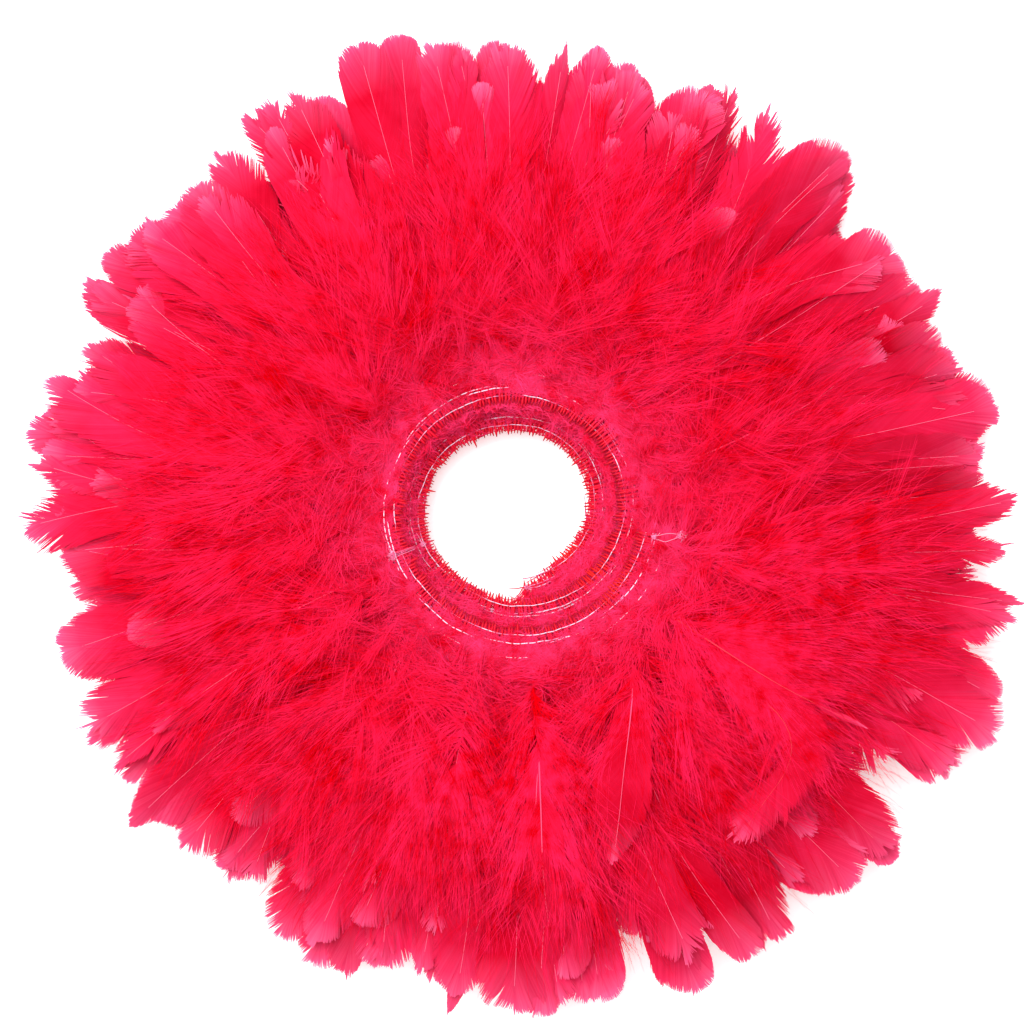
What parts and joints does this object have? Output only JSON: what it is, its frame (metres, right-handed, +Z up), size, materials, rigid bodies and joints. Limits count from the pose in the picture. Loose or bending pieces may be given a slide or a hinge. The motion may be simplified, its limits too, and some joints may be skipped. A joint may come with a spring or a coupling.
{
  "type": "feather boa",
  "caption": "Strung feather boa wound into a flat open coil: stitched quills round the middle hole, fluffy down and flat vanes spreading outwards, with free ends.",
  "frame": {"origin": "middle of the coil's bounding box, on the surface that the coil lies on", "axes": "+Z up out of the coil's face. The strip winds anticlockwise seen from above, from its inner end, which lies towards -Y, to its outer end, which lies towards +X."},
  "size_m": [0.3878, 0.3828, 0.0317],
  "materials": {
    "quill": "satin dyed quill",
    "thread": "shiny sewing thread",
    "down": "fluffy dyed down",
    "vane": "dyed feather vane"
  },
  "bodies": {
    "coil": {"quills_02": "quill", "stitching_02": "thread", "down_02": "down", "vanes_02": "vane", "quills_03": "quill", "stitching_03": "thread", "down_03": "down", "vanes_03": "vane", "quills_04": "quill", "stitching_04": "thread", "down_04": "down", "vanes_04": "vane", "quills_05": "quill", "stitching_05": "thread", "down_05": "down", "vanes_05": "vane", "quills_06": "quill", "stitching_06": "thread", "down_06": "down", "vanes_06": "vane", "quills_07": "quill", "stitching_07": "thread", "down_07": "down", "vanes_07": "vane", "quills_08": "quill", "stitching_08": "thread", "down_08": "down", "vanes_08": "vane", "quills_09": "quill", "stitching_09": "thread", "down_09": "down", "vanes_09": "vane", "quills_10": "quill", "stitching_10": "thread", "down_10": "down", "vanes_10": "vane", "coil_tie": "thread"},
    "inner_end": {"quills_01": "quill", "stitching_01": "thread", "down_01": "down", "vanes_01": "vane", "inner_end_knot": "thread"},
    "outer_end_a": {"quills_11": "quill", "stitching_11": "thread", "down_11": "down", "vanes_11": "vane"},
    "outer_end_b": {"quills_12": "quill", "stitching_12": "thread", "down_12": "down", "vanes_12": "vane"},
    "outer_end_c": {"quills_13": "quill", "stitching_13": "thread", "down_13": "down", "vanes_13": "vane", "outer_end_knot": "thread"}
  },
  "joints": [
    {"name": "inner_end_swing", "type": "hinge", "parent": "coil", "child": "inner_end", "pos_m": [0.01557, -0.01815, 0.00972], "axis": [0, 0, 1], "range_deg": [-8, 0]},
    {"name": "outer_end_lift_a", "type": "hinge", "parent": "coil", "child": "outer_end_a", "pos_m": [-0.02878, -0.03989, 0.02808], "axis": [-0.4384, -0.8988, 0], "range_deg": [0, 30]},
    {"name": "outer_end_lift_b", "type": "hinge", "parent": "outer_end_a", "child": "outer_end_b", "pos_m": [0.00159, -0.04681, 0.0291], "axis": [0.1736, -0.9848, 0], "range_deg": [0, 30]},
    {"name": "outer_end_lift_c", "type": "hinge", "parent": "outer_end_b", "child": "outer_end_c", "pos_m": [0.0315, -0.03353, 0.03012], "axis": [0.7193, -0.6947, 0], "range_deg": [0, 30]}
  ]
}
